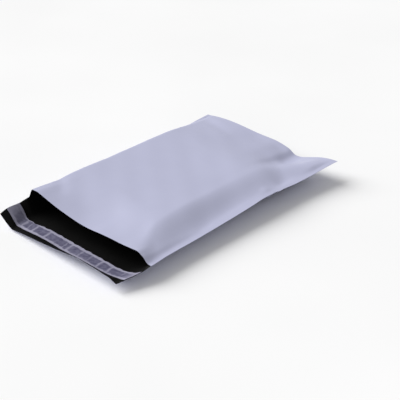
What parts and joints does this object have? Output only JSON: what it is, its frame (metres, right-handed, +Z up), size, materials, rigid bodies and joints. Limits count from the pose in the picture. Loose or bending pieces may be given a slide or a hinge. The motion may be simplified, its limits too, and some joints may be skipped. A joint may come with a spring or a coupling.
{
  "type": "poly mailer bag",
  "caption": "Flat film mailing bag, opened and slightly puffed, with a welded pouch, a lip, a hot-melt strip and its release liner.",
  "frame": {"origin": "centre of the bag's footprint, on the surface that it lies on", "axes": "+Z up, +Y from the mouth towards the closed end, +X from the left weld to the right weld, seen from the mouth"},
  "size_m": [0.249, 0.3924, 0.0383],
  "materials": {
    "bag_film": "satin",
    "hot_melt": "glossy",
    "release_liner": "satin"
  },
  "bodies": {
    "root": {"bag_film": "bag_film", "adhesive_strip": "hot_melt", "release_liner": "release_liner"}
  },
  "joints": []
}
